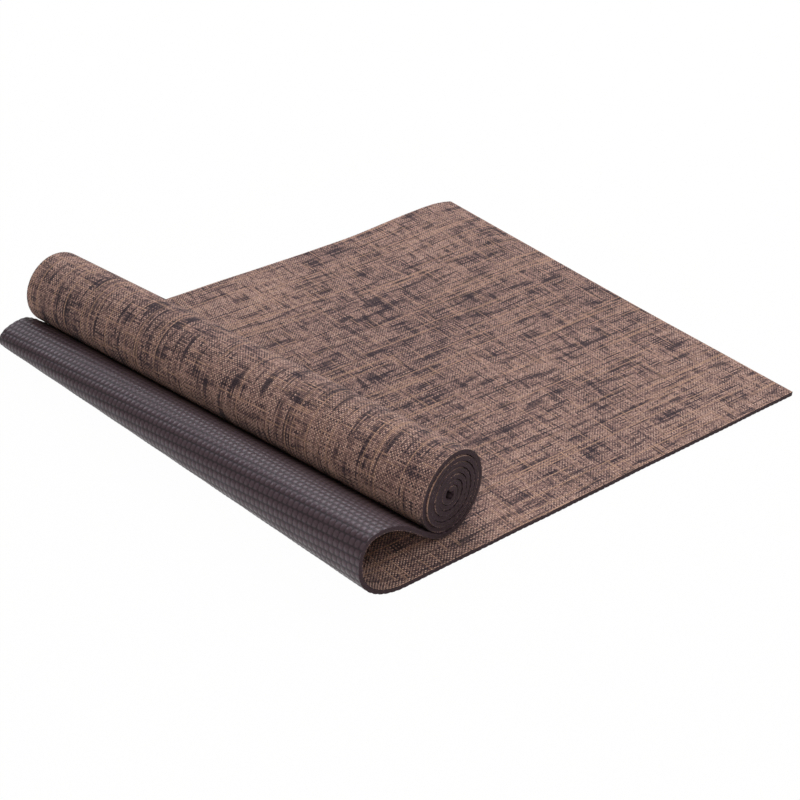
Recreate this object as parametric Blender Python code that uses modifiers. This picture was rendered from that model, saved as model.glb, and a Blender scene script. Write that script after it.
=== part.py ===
"""Jute-faced foam yoga mat, lying partly unrolled.

The sheet starts flat at its free end, turns up and over in a fold, and runs back
under a roll that holds the rest of its length.  The fold is a little askew, so the
roll lies at twice that skew and is set back from the front edge.  The free end keeps
some of its curl, which lifts its back corner off the floor.
X runs along the flat length towards the free end, Y across the width, Z up.
Sizes are in metres.
"""

import math
from collections import namedtuple

import bmesh
import bpy
from mathutils import Vector
from mathutils.geometry import interpolate_bezier

# Cut size of the whole mat
MAT_LENGTH = 1.83
MAT_WIDTH = 0.61

# Plies from the upper side down, and the bond line between two of them
JUTE_THICKNESS = 0.0007
TOP_FOAM_THICKNESS = 0.00175
SCRIM_THICKNESS = 0.0003
BASE_FOAM_THICKNESS = 0.00185
BOND_GAP = 0.0003

# Flat run, measured along the front edge from the free end to the start of the fold
FLAT_LENGTH = 0.5515
FOLD_SKEW = math.radians(5.5)

# Curl left in the free end: its crest at the back edge, how far that lies from the end,
# how far the curl fades along the run, how far in it reaches from the back edge, and the
# height that is left at the end itself
CURL_HEIGHT = 0.0087
CURL_CREST_RUN = 0.038
CURL_FADE_LENGTH = 0.165
CURL_WIDTH = 0.36
CURL_END_SHARE = 0.5

# Fold at the front edge: how far it reaches out and how high its side and crest lie
FRONT_REACH = 0.051
FRONT_SIDE_HEIGHT = 0.0401
FRONT_CREST_SETBACK = 0.0209
FRONT_CREST_HEIGHT = 0.0694

# Fold at the back edge, which the nearer roll presses lower
BACK_REACH = 0.0664
BACK_SIDE_HEIGHT = 0.0224
BACK_CREST_SETBACK = 0.0318
BACK_CREST_HEIGHT = 0.0354

# Roll: where its axis lies past the start of the fold, its bore and its spacings
ROLL_AHEAD = 0.0847
ROLL_BORE_RADIUS = 0.0025
WINDING_GAP = 0.00055
RESTING_GAP = 0.00045
LEAVE_ANGLE = math.radians(33.5)

# Living hinge: the plies are parted along the outermost line of the fold
HINGE_PARTING = 0.0005

# Shape of the curves, as shares of the spans that their handles follow
BEND_HANDLE_SHARE = 0.58
TAIL_HANDLE_SHARE = 0.36

# How finely the sheet is laid out
CURL_END_STEPS = 2
CURL_FADE_STEPS = 5
BEND_STEPS = 7
TAIL_STEPS = 8
STEPS_PER_TURN = 24
STRIPS = 6
SETTLING_ROUNDS = 30
GAP_SAMPLES_PER_TURN = 96

Ply = namedtuple("Ply", "name thickness depth colour roughness")
Section = namedtuple("Section", "reach side_height crest_setback crest_height")
Row = namedtuple("Row", "front back front_normal back_normal strips lift", defaults=(0,))

SHEET_THICKNESS = (JUTE_THICKNESS + TOP_FOAM_THICKNESS + SCRIM_THICKNESS
                   + BASE_FOAM_THICKNESS + 3 * BOND_GAP)
PITCH = SHEET_THICKNESS + WINDING_GAP
INNER_RADIUS = ROLL_BORE_RADIUS + SHEET_THICKNESS / 2
ROLL_YAW = 2 * FOLD_SKEW
FREE_END_X = FLAT_LENGTH / 2

FRONT_SECTION = Section(FRONT_REACH, FRONT_SIDE_HEIGHT, FRONT_CREST_SETBACK, FRONT_CREST_HEIGHT)
BACK_SECTION = Section(BACK_REACH, BACK_SIDE_HEIGHT, BACK_CREST_SETBACK, BACK_CREST_HEIGHT)

UP = Vector((0, 0, 1))
FOLD_LINE = Vector((-math.sin(FOLD_SKEW), math.cos(FOLD_SKEW), 0))
FOLD_ACROSS = Vector((math.cos(FOLD_SKEW), math.sin(FOLD_SKEW), 0))
ROLL_AXIS = Vector((-math.sin(ROLL_YAW), math.cos(ROLL_YAW), 0))
ROLL_ACROSS = Vector((math.cos(ROLL_YAW), math.sin(ROLL_YAW), 0))


def clear_scene():
    """Remove every object, so that the script can be run again in an open file."""
    for obj in list(bpy.data.objects):
        bpy.data.objects.remove(obj, do_unlink=True)


def make_collection(name):
    """Return a new collection linked into the scene."""
    collection = bpy.data.collections.new(name)
    bpy.context.scene.collection.children.link(collection)
    return collection


def make_material(name, colour, roughness):
    """Return a plain Principled material."""
    material = bpy.data.materials.new(name)
    material.use_nodes = True
    shader = material.node_tree.nodes["Principled BSDF"]
    shader.inputs["Base Color"].default_value = (*colour, 1)
    shader.inputs["Roughness"].default_value = roughness
    shader.inputs["Metallic"].default_value = 0
    return material


def list_plies():
    """Return the plies, each with the depth of its middle below the sheet's upper face."""
    stack = (("jute_facing", JUTE_THICKNESS, (0.21, 0.13, 0.085), 0.95),
             ("top_foam", TOP_FOAM_THICKNESS, (0.035, 0.024, 0.03), 0.7),
             ("scrim", SCRIM_THICKNESS, (0.6, 0.58, 0.55), 0.8),
             ("base_foam", BASE_FOAM_THICKNESS, (0.04, 0.028, 0.035), 0.55))
    plies = []
    top = 0
    for name, thickness, colour, roughness in stack:
        plies.append(Ply(name, thickness, top + thickness / 2, colour, roughness))
        top += thickness + BOND_GAP
    return plies


def winding_radius(outer_radius, angle):
    """Radius of the middle of the sheet, at an angle wound on from where the tail joins."""
    return outer_radius - PITCH * angle / math.tau


def section_point(centre, radius, angle):
    """A point round the roll in a section, with the angle counted from straight below it."""
    return centre + Vector((radius * math.sin(angle), -radius * math.cos(angle)))


def roll_height(outer_radius):
    """Height of the roll's axis: it rests on the flat run with its lowest turn."""
    lowest = winding_radius(outer_radius, LEAVE_ANGLE) + SHEET_THICKNESS / 2
    return SHEET_THICKNESS + RESTING_GAP + lowest


def fold_spans(section, ahead, outer_radius):
    """Cubic spans of the sheet's middle line: up the side, over the crest, down the tail.

    The first number of a point is its place across the fold, the second its height.
    The roll's round section, seen along the fold, is narrower by the cosine of the skew.
    """
    start = Vector((0, SHEET_THICKNESS / 2))
    side = Vector((-section.reach, section.side_height))
    crest = Vector((section.crest_setback - section.reach, section.crest_height))
    joint = section_point(Vector((0, 0)), outer_radius, -LEAVE_ANGLE)
    joint = Vector((ahead + joint.x * math.cos(FOLD_SKEW), roll_height(outer_radius) + joint.y))
    lean = LEAVE_ANGLE + math.atan(PITCH / math.tau / outer_radius)
    tail_handle = TAIL_HANDLE_SHARE * (joint - crest).length
    rise = BEND_HANDLE_SHARE * (side.y - start.y)
    climb = BEND_HANDLE_SHARE * (crest.y - side.y)
    return (
        (start, start - Vector((BEND_HANDLE_SHARE * section.reach, 0)),
         side - Vector((0, rise)), side),
        (side, side + Vector((0, climb)),
         crest - Vector((BEND_HANDLE_SHARE * section.crest_setback, 0)), crest),
        (crest, crest + Vector((tail_handle, 0)),
         joint - tail_handle * Vector((math.cos(lean), -math.sin(lean))), joint),
    )


def span_points(span, steps):
    """Points along one span, both ends included."""
    return [point.xy for point in interpolate_bezier(*span, steps + 1)]


def line_length(points):
    """Length of a line through the points."""
    return sum((b - a).length for a, b in zip(points, points[1:]))


def fold_length(section, ahead, outer_radius):
    """Developed length of a section from the start of the fold to the roll."""
    fine = GAP_SAMPLES_PER_TURN
    return sum(line_length(span_points(span, fine))
               for span in fold_spans(section, ahead, outer_radius))


def settle_roll():
    """Outer radius of the winding, found from the length that the flat and the fold leave."""
    outer_radius = INNER_RADIUS
    for _ in range(SETTLING_ROUNDS):
        used = FLAT_LENGTH + fold_length(FRONT_SECTION, ROLL_AHEAD, outer_radius)
        wound = MAT_LENGTH - used
        outer_radius = math.sqrt(INNER_RADIUS ** 2 + wound * PITCH / math.pi)
    return outer_radius


def curl_profile():
    """Runs from the free end over its curl, each with its share of the curl's height."""
    profile = []
    for index in range(CURL_END_STEPS):
        part = index / CURL_END_STEPS
        profile.append((CURL_CREST_RUN * part, 1 - (1 - CURL_END_SHARE) * (1 - part) ** 2))
    for index in range(CURL_FADE_STEPS + 1):
        part = index / CURL_FADE_STEPS
        share = math.cos(part * math.pi / 2) ** 2
        profile.append((CURL_CREST_RUN + CURL_FADE_LENGTH * part, share))
    return profile


class Layout:
    """Where the sheet's front and back edges run, from the free end to the roll's core."""

    def __init__(self):
        self.outer_radius = settle_roll()
        skewed = MAT_WIDTH * math.tan(FOLD_SKEW)
        self.front_start = Vector((FREE_END_X - FLAT_LENGTH, -MAT_WIDTH / 2, 0))
        self.back_start = Vector((FREE_END_X - FLAT_LENGTH - skewed, MAT_WIDTH / 2, 0))
        front_fold = fold_length(FRONT_SECTION, ROLL_AHEAD, self.outer_radius)
        joint_behind = self.outer_radius * math.sin(LEAVE_ANGLE) * math.sin(FOLD_SKEW)
        set_back = front_fold * math.tan(FOLD_SKEW) + joint_behind
        self.roll_front = self.front_start + FOLD_ACROSS * ROLL_AHEAD + FOLD_LINE * set_back
        self.roll_front.z = roll_height(self.outer_radius)
        self.roll_back = self.roll_front + ROLL_AXIS * MAT_WIDTH
        self.back_ahead = (self.roll_back - self.back_start).dot(FOLD_ACROSS)

    def edge_line(self, section, start, ahead, roll_end):
        """Points and upward normals of the middle of the sheet through the fold at one edge."""
        spans = fold_spans(section, ahead, self.outer_radius)
        points = [spans[0][0]]
        for span, steps in zip(spans, (BEND_STEPS, BEND_STEPS, TAIL_STEPS)):
            points.extend(span_points(span, steps)[1:])
        joint = roll_end - ROLL_ACROSS * self.outer_radius * math.sin(LEAVE_ANGLE)
        drift = (joint - start).dot(FOLD_LINE) / line_length(points)
        line = []
        travelled = 0
        for index, point in enumerate(points):
            before = points[max(index - 1, 0)]
            after = points[min(index + 1, len(points) - 1)]
            travelled += (point - before).length
            heading = (after - before).normalized()
            if index == 0:
                heading = Vector((-1, 0))
            place = start + FOLD_ACROSS * point.x + FOLD_LINE * travelled * drift + UP * point.y
            normal = FOLD_ACROSS * heading.y - UP * heading.x
            line.append((place, normal))
        return line

    def fold_rows(self):
        """Rows of the sheet through the fold, up to where the tail meets the roll."""
        front = self.edge_line(FRONT_SECTION, self.front_start, ROLL_AHEAD, self.roll_front)
        back = self.edge_line(BACK_SECTION, self.back_start, self.back_ahead, self.roll_back)
        rows = [Row(f, b, fn, bn, STRIPS) for (f, fn), (b, bn) in zip(front, back)]
        return rows[:-1]

    def flat_row(self, run, strips, lift=0):
        """A row of the flat run, straight across the mat, at a run from the free end."""
        front = Vector((FREE_END_X - run, -MAT_WIDTH / 2, SHEET_THICKNESS / 2))
        back = Vector((FREE_END_X - run, MAT_WIDTH / 2, SHEET_THICKNESS / 2))
        return Row(front, back, UP, UP, strips, lift)

    def free_end_rows(self):
        """Rows over the curled free end, and one beyond it where the sheet lies flat."""
        rows = [self.flat_row(run, STRIPS, CURL_HEIGHT * share) for run, share in curl_profile()]
        flat_from = 2 * CURL_CREST_RUN + CURL_FADE_LENGTH
        return rows + [self.flat_row(flat_from, 1)]

    def roll_row(self, angle, strips=1):
        """A row of the winding, with the angle counted from straight below the axis."""
        radius = winding_radius(self.outer_radius, angle + LEAVE_ANGLE)
        outward = ROLL_ACROSS * math.sin(angle) - UP * math.cos(angle)
        lead = math.atan(PITCH / math.tau / radius)
        along = ROLL_ACROSS * math.cos(angle) + UP * math.sin(angle)
        normal = outward * math.cos(lead) + along * math.sin(lead)
        return Row(self.roll_front + outward * radius, self.roll_back + outward * radius,
                   normal, normal, strips)

    def roll_angles(self):
        """Angles of the winding's rows, on the same spokes in every turn."""
        end = math.tau * (self.outer_radius - INNER_RADIUS) / PITCH - LEAVE_ANGLE
        step = math.tau / STEPS_PER_TURN
        first = math.ceil(-LEAVE_ANGLE / step)
        last = math.floor(end / step)
        spokes = [step * index for index in range(first, last + 1)]
        clear = step / 4
        inside = [angle for angle in spokes if -LEAVE_ANGLE + clear < angle < end - clear]
        return [-LEAVE_ANGLE] + inside + [end]

    def roll_rows(self):
        """Rows of the winding, from where the tail joins to the inner end."""
        angles = self.roll_angles()
        return [self.roll_row(angles[0], STRIPS)] + [self.roll_row(a) for a in angles[1:]]


def shifted(row, distance):
    """The same row, moved along the sheet's heading away from the row's own place."""
    across = (row.back - row.front).normalized()
    step_front = across.cross(row.front_normal).normalized() * distance
    step_back = across.cross(row.back_normal).normalized() * distance
    return row._replace(front=row.front - step_front, back=row.back - step_back)


def lift_across(share):
    """Share of a row's lift at a share of the way from the front edge to the back edge."""
    return max(0, 1 - (1 - share) * MAT_WIDTH / CURL_WIDTH)


def ply_row(row, ply):
    """Points across the sheet for one row, on the middle of one ply."""
    rise = SHEET_THICKNESS / 2 - ply.depth
    front = row.front + row.front_normal * rise
    back = row.back + row.back_normal * rise
    shares = [index / row.strips for index in range(row.strips + 1)]
    return [front.lerp(back, share) + UP * row.lift * lift_across(share) for share in shares]


def loft_surface(name, rows, ply, origin):
    """Open surface through the rows, on the middle of one ply."""
    mesh = bpy.data.meshes.new(name)
    bm = bmesh.new()
    lines = [[bm.verts.new(point - origin) for point in ply_row(row, ply)] for row in rows]
    for line, following in zip(lines, lines[1:]):
        if len(line) == len(following):
            for a, b, c, d in zip(line, line[1:], following[1:], following):
                bm.faces.new((a, b, c, d))
        else:
            bm.faces.new(line + following[::-1])
    bmesh.ops.recalc_face_normals(bm, faces=bm.faces)
    bm.to_mesh(mesh)
    bm.free()
    mesh.shade_smooth()
    return bpy.data.objects.new(name, mesh)


def add_ply(collection, ply, material, suffix, rows, parent):
    """One ply's solid over the given rows, carried by its parent."""
    obj = loft_surface(f"{ply.name}_{suffix}", rows, ply, parent.location)
    collection.objects.link(obj)
    obj.parent = parent
    obj.data.materials.append(material)
    solidify = obj.modifiers.new("ply thickness", "SOLIDIFY")
    solidify.thickness = ply.thickness
    solidify.offset = 0
    solidify.use_even_offset = True
    return obj


def add_empty(collection, name, location):
    """An empty that carries the pieces of one body."""
    empty = bpy.data.objects.new(name, None)
    empty.location = location
    empty.empty_display_size = MAT_WIDTH / 4
    collection.objects.link(empty)
    return empty


def hinge_line(side_row):
    """Front and back points of the hinge, on the outer skin of the fold's side."""
    front = side_row.front - side_row.front_normal * SHEET_THICKNESS / 2
    back = side_row.back - side_row.back_normal * SHEET_THICKNESS / 2
    return front, back


def least_winding_gap(layout):
    """Least gap of the sheet to itself in the roll's section, measured on points."""
    step = math.tau / GAP_SAMPLES_PER_TURN
    end = layout.roll_angles()[-1]
    count = math.floor((end + LEAVE_ANGLE) / step)
    points = []
    for index in range(count + 1):
        angle = index * step
        radius = winding_radius(layout.outer_radius, angle)
        points.append(section_point(Vector((0, 0)), radius, angle - LEAVE_ANGLE))
    least = math.inf
    for index, point in enumerate(points):
        for other in points[index + GAP_SAMPLES_PER_TURN // 2:]:
            least = min(least, (point - other).length)
    return least - SHEET_THICKNESS


def build():
    """Make every ply of the mat and print what was measured."""
    clear_scene()
    collection = make_collection("yoga_mat")
    layout = Layout()
    fold = layout.fold_rows()
    side_row = fold[BEND_STEPS]
    hinge_front, hinge_back = hinge_line(side_row)
    flat_run = add_empty(collection, "flat_run", Vector((0, 0, 0)))
    rolled_end = add_empty(collection, "rolled_end", hinge_front)
    lower = layout.free_end_rows() + fold[:BEND_STEPS]
    lower.append(shifted(side_row, -HINGE_PARTING / 2))
    upper = [shifted(side_row, HINGE_PARTING / 2)] + fold[BEND_STEPS + 1:] + layout.roll_rows()
    for ply in list_plies():
        material = make_material(ply.name, ply.colour, ply.roughness)
        add_ply(collection, ply, material, "flat", lower, flat_run)
        add_ply(collection, ply, material, "roll", upper, rolled_end)
    turns = (layout.outer_radius - INNER_RADIUS) / PITCH
    print(f"sheet thickness {SHEET_THICKNESS:.5f} m, roll of {turns:.2f} turns")
    print(f"roll outer radius {layout.outer_radius + SHEET_THICKNESS / 2:.5f} m")
    print(f"roll axis from {tuple(round(v, 5) for v in layout.roll_front)}"
          f" to {tuple(round(v, 5) for v in layout.roll_back)}")
    print(f"hinge line from {tuple(round(v, 6) for v in hinge_front)}"
          f" to {tuple(round(v, 6) for v in hinge_back)}")
    front_fold = fold_length(FRONT_SECTION, ROLL_AHEAD, layout.outer_radius)
    back_fold = fold_length(BACK_SECTION, layout.back_ahead, layout.outer_radius)
    print(f"fold and tail {front_fold:.4f} m at the front, {back_fold:.4f} m at the back")
    print(f"least gap of the winding to itself {least_winding_gap(layout) * 1000:.3f} mm")


build()
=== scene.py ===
# %% [markdown]
# # A jute-faced yoga mat, partly unrolled
# The mat is one long sheet of four plies: a woven jute facing, a foam, a thin scrim net and a
# second foam with pads embossed in its underside.  Here it lies flat at one end, folds over at
# the other, and the rest of its length is wound into a roll that rests on the flat part.
# Everything below is in metres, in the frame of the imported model.

# %% Load the frame
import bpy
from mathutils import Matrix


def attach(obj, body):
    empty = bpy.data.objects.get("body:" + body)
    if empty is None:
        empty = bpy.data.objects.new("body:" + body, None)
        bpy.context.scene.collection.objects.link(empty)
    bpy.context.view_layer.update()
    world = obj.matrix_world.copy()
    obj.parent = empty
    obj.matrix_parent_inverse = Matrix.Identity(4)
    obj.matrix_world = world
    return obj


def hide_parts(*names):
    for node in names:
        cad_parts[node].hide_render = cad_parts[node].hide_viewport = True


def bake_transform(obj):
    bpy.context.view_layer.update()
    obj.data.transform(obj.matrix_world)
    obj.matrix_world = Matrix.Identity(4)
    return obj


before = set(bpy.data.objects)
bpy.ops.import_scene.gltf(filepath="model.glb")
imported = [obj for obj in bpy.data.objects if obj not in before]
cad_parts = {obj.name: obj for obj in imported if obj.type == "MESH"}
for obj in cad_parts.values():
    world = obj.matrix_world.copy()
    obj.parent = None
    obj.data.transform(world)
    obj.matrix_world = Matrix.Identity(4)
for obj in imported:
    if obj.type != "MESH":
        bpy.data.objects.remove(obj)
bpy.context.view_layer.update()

# %% Modules
import math
from collections import namedtuple

import bmesh
import bpy
import numpy as np
from mathutils import Matrix, Vector

print("modules loaded")

# %% [markdown]
# ## Camera
# The camera looks down on the fold from the front left.  Its place and lens were fitted to
# the mat's edges, so the script states them as real sizes: a place in metres, two angles and
# a small roll about the line of sight.

# %% Camera
CAMERA_PLACE = (-0.94055, -1.1489, 0.9055)
CAMERA_AZIMUTH = math.radians(-37.845)
CAMERA_ELEVATION = math.radians(32.9473)
CAMERA_ROLL = math.radians(0.4723)
CAMERA_LENS_MM = 66.82
CAMERA_SENSOR_MM = 36


def add_object(name, data):
    """A new object in the scene."""
    made = bpy.data.objects.new(name, data)
    bpy.context.scene.collection.objects.link(made)
    return made


def camera_axes(azimuth, elevation, roll):
    """The camera's right, up and backward directions."""
    backward = Vector((math.sin(azimuth) * math.cos(elevation),
                       -math.cos(azimuth) * math.cos(elevation), math.sin(elevation)))
    level = Vector((math.cos(azimuth), math.sin(azimuth), 0))
    upright = backward.cross(level)
    right = level * math.cos(roll) + upright * math.sin(roll)
    return right, backward.cross(right), backward


camera_data = bpy.data.cameras.new("camera")
camera_data.sensor_width = CAMERA_SENSOR_MM
camera_data.lens = CAMERA_LENS_MM
camera = add_object("camera", camera_data)
axes = camera_axes(CAMERA_AZIMUTH, CAMERA_ELEVATION, CAMERA_ROLL)
camera.matrix_world = Matrix.Translation(CAMERA_PLACE) @ Matrix(axes).transposed().to_4x4()
bpy.context.scene.camera = camera
bpy.context.scene.view_settings.view_transform = "Standard"
print("camera at", CAMERA_PLACE, "lens", CAMERA_LENS_MM, "mm")

# %% [markdown]
# ## Node helpers
# Every finish here is built from shader nodes.  A few small helpers keep that readable: one
# adds a node and feeds it, and the others add a sum, a fade, a noise or a mix and hand back
# its result.

# %% Add nodes


def add_node(tree, kind, sources=(), **settings):
    """A new node.  Each source is a socket to link, a value to set, or None to leave alone."""
    node = tree.nodes.new(kind)
    for name, value in settings.items():
        setattr(node, name, value)
    named = sources.items() if isinstance(sources, dict) else enumerate(sources)
    for key, source in named:
        if isinstance(source, bpy.types.NodeSocket):
            tree.links.new(source, node.inputs[key])
        elif source is not None:
            node.inputs[key].default_value = source
    return node


def calc(tree, operation, *sources):
    """The result of a Math node."""
    return add_node(tree, "ShaderNodeMath", sources, operation=operation).outputs[0]


def scaled(tree, value, by, plus):
    """A value times another, plus a third."""
    return calc(tree, "MULTIPLY_ADD", value, by, plus)


def fade(tree, value, low, high, start=0.0, stop=1.0):
    """A smooth step of a value from start to stop, between low and high."""
    return add_node(tree, "ShaderNodeMapRange", (value, low, high, start, stop),
                    interpolation_type="SMOOTHSTEP").outputs[0]


def noise(tree, vector, scale, detail):
    """The value of a noise texture."""
    return add_node(tree, "ShaderNodeTexNoise", {"Vector": vector, "Scale": scale,
                                                 "Detail": detail}).outputs[0]


def patches(tree, vector, scales, detail):
    """Noise in patches, so many to each unit of a vector's sides."""
    spread = add_node(tree, "ShaderNodeVectorMath", (vector, scales), operation="MULTIPLY")
    return noise(tree, spread.outputs[0], 1.0, detail)


def mix_values(tree, share, first, second):
    """Two values mixed by a share."""
    return add_node(tree, "ShaderNodeMix", (share, None, first, second),
                    data_type="FLOAT").outputs[0]


def mix_colours(tree, share, first, second):
    """Two colours mixed by a share."""
    return add_node(tree, "ShaderNodeMix", {0: share, 6: first, 7: second},
                    data_type="RGBA").outputs[2]


def linear(red, green, blue):
    """A colour in Blender's linear terms, from the 0 to 255 values that a screen shows."""
    shares = (channel / 255 for channel in (red, green, blue))
    return tuple(c / 12.92 if c <= 0.04045 else ((c + 0.055) / 1.055) ** 2.4
                 for c in shares) + (1.0,)


print("mid jute is", tuple(round(c, 3) for c in linear(133, 109, 104)))

# %% [markdown]
# ## Floor, light and background
# A large soft lamp above and behind, a low one behind at the left for the gloss on the fold,
# one at the right, a weak warm one at the front left and an even pale surround give the soft
# light of a studio table.  The floor is a pale matt board.  The camera also sees a glow of
# white mixed into it, so that the picture's ground is white while the mat's own light stays
# at a plain level.

# %% Floor
FLOOR_HALF_SIZE = 4.0
FLOOR_DEPTH = 0.0002
FLOOR_GLOW_SHARE = 0.985
FLOOR_COLOUR = (0.9, 0.9, 0.9, 1.0)

floor_mesh = bpy.data.meshes.new("floor")
floor_mesh.from_pydata([(x * FLOOR_HALF_SIZE, y * FLOOR_HALF_SIZE, -FLOOR_DEPTH)
                        for x, y in ((-1, -1), (1, -1), (1, 1), (-1, 1))], [], [(0, 1, 2, 3)])
floor = add_object("floor", floor_mesh)


def seen_directly(tree):
    """1 for rays that show the background: from the camera, a gloss or through glass."""
    path = add_node(tree, "ShaderNodeLightPath")
    shown = calc(tree, "ADD", path.outputs["Is Camera Ray"], path.outputs["Is Glossy Ray"])
    return calc(tree, "ADD", shown, path.outputs["Is Transmission Ray"])


def new_material(name):
    """An empty node material."""
    material = bpy.data.materials.new(name)
    material.use_nodes = True
    material.node_tree.nodes.clear()
    return material, material.node_tree


material, tree = new_material("floor_board")
board = add_node(tree, "ShaderNodeBsdfDiffuse", {"Color": FLOOR_COLOUR})
glow = add_node(tree, "ShaderNodeEmission", {"Color": (1, 1, 1, 1), "Strength": 1.0})
share = calc(tree, "MULTIPLY", seen_directly(tree), FLOOR_GLOW_SHARE)
mixed = add_node(tree, "ShaderNodeMixShader", (share, board.outputs[0], glow.outputs[0]))
add_node(tree, "ShaderNodeOutputMaterial", (mixed.outputs[0],))
floor_mesh.materials.append(material)
print("floor", 2 * FLOOR_HALF_SIZE, "m wide")

# %% Surround and lamps
SURROUND_LEVEL = 0.25
Lamp = namedtuple("Lamp", "name place target size power colour")
LAMPS = (
    Lamp("back_softbox", (1.6, 1.4, 2.4), (0, 0, 0), 2.2, 55, (0.98, 0.99, 1)),
    Lamp("rim_softbox", (-0.3, 2.3, 1.25), (-0.35, 0.3, 0.03), 1.1, 9, (0.97, 0.96, 1)),
    Lamp("right_softbox", (1.9, -1.1, 0.95), (0, -0.1, 0.03), 1.0, 18, (1, 0.98, 0.96)),
    Lamp("front_fill", (-1.5, -1.2, 1.1), (-0.2, 0, 0.04), 1.0, 10, (1, 0.9, 0.84)),
)

world = bpy.data.worlds.new("studio")
world.use_nodes = True
bpy.context.scene.world = world
tree = world.node_tree
tree.nodes.clear()
path = add_node(tree, "ShaderNodeLightPath")
shades = [add_node(tree, "ShaderNodeBackground", ((1, 1, 1, 1), level)).outputs[0]
          for level in (SURROUND_LEVEL, 1.0)]
chosen = add_node(tree, "ShaderNodeMixShader", (path.outputs["Is Camera Ray"], *shades))
add_node(tree, "ShaderNodeOutputWorld", (chosen.outputs[0],))

for lamp in LAMPS:
    data = bpy.data.lights.new(lamp.name, "AREA")
    data.size = lamp.size
    data.energy = lamp.power
    data.color = lamp.colour
    aim = (Vector(lamp.target) - Vector(lamp.place)).to_track_quat("-Z", "Y")
    add_object(lamp.name, data).matrix_world = (Matrix.Translation(lamp.place)
                                                @ aim.to_matrix().to_4x4())
print(len(LAMPS), "lamps")

# %% [markdown]
# ## The sheet's course
# A mat is a flat sheet that was bent.  It could be modelled by hand, but its plies would
# not fit.  So the course of the sheet's middle is worked out once, and every ply is laid
# along it at its own depth.  The course is known at the front and back edges, and between
# them the sheet is straight, because a sheet bends in one direction only.

# %% Sizes of the sheet and its lay
MAT_LENGTH = 1.83
MAT_WIDTH = 0.61
SHEET_THICKNESS = 0.0055
FLAT_LENGTH = 0.5515
FOLD_SKEW = math.radians(5.5)
ROLL_YAW = 2 * FOLD_SKEW
ROLL_AHEAD = 0.0847
ROLL_BORE_RADIUS = 0.0025
WINDING_GAP = 0.00055
RESTING_GAP = 0.00045
LEAVE_ANGLE = math.radians(33.5)
BEND_HANDLE_SHARE = 0.58
TAIL_HANDLE_SHARE = 0.36
PITCH = SHEET_THICKNESS + WINDING_GAP
INNER_RADIUS = ROLL_BORE_RADIUS + SHEET_THICKNESS / 2
FREE_END_X = FLAT_LENGTH / 2

Section = namedtuple("Section", "reach side_height crest_setback crest_height")
FRONT_SECTION = Section(0.051, 0.0401, 0.0209, 0.0694)
BACK_SECTION = Section(0.0624, 0.0224, 0.0304, 0.0356)

UP = np.array((0, 0, 1.0))
FOLD_LINE = np.array((-math.sin(FOLD_SKEW), math.cos(FOLD_SKEW), 0))
FOLD_ACROSS = np.array((math.cos(FOLD_SKEW), math.sin(FOLD_SKEW), 0))
ROLL_AXIS = np.array((-math.sin(ROLL_YAW), math.cos(ROLL_YAW), 0))
ROLL_ACROSS = np.array((math.cos(ROLL_YAW), math.sin(ROLL_YAW), 0))
print(f"turns lie {PITCH * 1000:.2f} mm apart")

# %% [markdown]
# The fold's section is three cubic curves: up the side, over the crest and down the tail.
# The tail meets the roll on a tangent.  The roll is an Archimedean spiral, and its outer
# radius follows from how much of the mat's length is left to wind.

# %% Fold and roll in section
FINE_STEPS = 96
SETTLING_ROUNDS = 30


def winding_radius(outer_radius, angle):
    """Radius of the sheet's middle, at an angle wound on from where the tail joins."""
    return outer_radius - PITCH * angle / math.tau


def roll_height(outer_radius):
    """Height of the roll's axis over the floor."""
    lowest = winding_radius(outer_radius, LEAVE_ANGLE) + SHEET_THICKNESS / 2
    return SHEET_THICKNESS + RESTING_GAP + lowest


def fold_spans(section, ahead, outer_radius):
    """The section's three curves, each as four points (across the fold, up)."""
    start = np.array((0, SHEET_THICKNESS / 2))
    side = np.array((-section.reach, section.side_height))
    crest = np.array((section.crest_setback - section.reach, section.crest_height))
    joint = np.array((ahead - outer_radius * math.sin(LEAVE_ANGLE) * math.cos(FOLD_SKEW),
                      roll_height(outer_radius) - outer_radius * math.cos(LEAVE_ANGLE)))
    lean = LEAVE_ANGLE + math.atan(PITCH / math.tau / outer_radius)
    tail_handle = TAIL_HANDLE_SHARE * np.linalg.norm(joint - crest)
    across, up = BEND_HANDLE_SHARE * np.eye(2)
    arrival = tail_handle * np.array((math.cos(lean), -math.sin(lean)))
    return ((start, start - across * section.reach, side - up * (side - start)[1], side),
            (side, side + up * (crest - side)[1], crest - across * section.crest_setback, crest),
            (crest, crest + (tail_handle, 0), joint - arrival, joint))


def curve_points(span, steps):
    """Points along a cubic curve, both ends included."""
    a, b, c, d = span
    t = np.linspace(0, 1, steps + 1)[:, None]
    return (1 - t) ** 3 * a + 3 * (1 - t) ** 2 * t * b + 3 * (1 - t) * t ** 2 * c + t ** 3 * d


def distances(points):
    """How far along a line each of its points lies."""
    steps = np.linalg.norm(np.diff(points, axis=0), axis=1)
    return np.concatenate(((0,), np.cumsum(steps)))


def fold_length(section, ahead, outer_radius):
    """Length of a section from the start of the fold to the roll."""
    return sum(distances(curve_points(span, FINE_STEPS))[-1]
               for span in fold_spans(section, ahead, outer_radius))


outer_radius = INNER_RADIUS
for _ in range(SETTLING_ROUNDS):
    wound = MAT_LENGTH - FLAT_LENGTH - fold_length(FRONT_SECTION, ROLL_AHEAD, outer_radius)
    outer_radius = math.sqrt(INNER_RADIUS ** 2 + wound * PITCH / math.pi)
turns = (outer_radius - INNER_RADIUS) / PITCH
print(f"roll of {turns:.2f} turns, {outer_radius + SHEET_THICKNESS / 2:.4f} m in radius")

# %% [markdown]
# A roll wound by hand is never perfectly even.  Its inner turns settle a little to one side,
# so the gaps open on the other side, and a turn creeps out past the next along the axis.
# Both are small shifts of the spiral here, and give the dark arcs and light rims of a real
# roll's end.

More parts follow.
